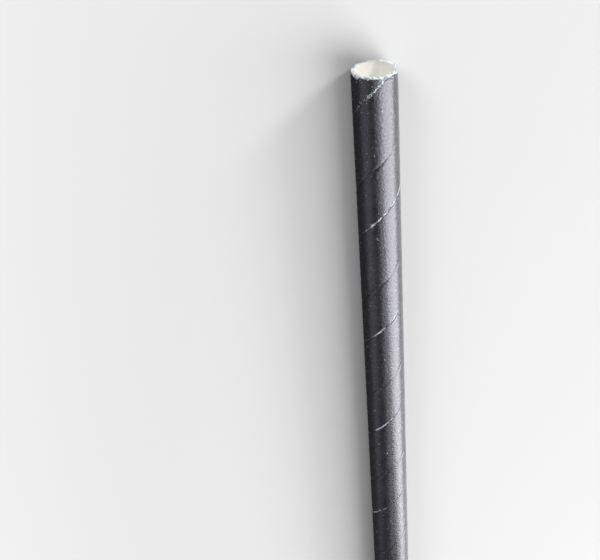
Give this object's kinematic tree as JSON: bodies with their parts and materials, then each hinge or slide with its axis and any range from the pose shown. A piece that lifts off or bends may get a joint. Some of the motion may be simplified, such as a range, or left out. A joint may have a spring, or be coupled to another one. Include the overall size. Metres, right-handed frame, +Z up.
{
  "type": "paper drinking straw",
  "caption": "Straight black paper drinking straw, spirally wound with a hairline white seam, white inside, cut square at each end.",
  "frame": {"origin": "on the floor under the middle of the straw", "axes": "+Y along the straw's axis towards the mouth that the picture shows, +Z up from the floor, +X to the right in the picture"},
  "size_m": [0.006, 0.197, 0.006],
  "materials": {
    "black_paper": "satin, dyed black, finely fibrous",
    "white_paper": "matte, uncoated white"
  },
  "bodies": {
    "root": {"outer_ply": "black_paper", "inner_tube": "white_paper"}
  },
  "joints": []
}
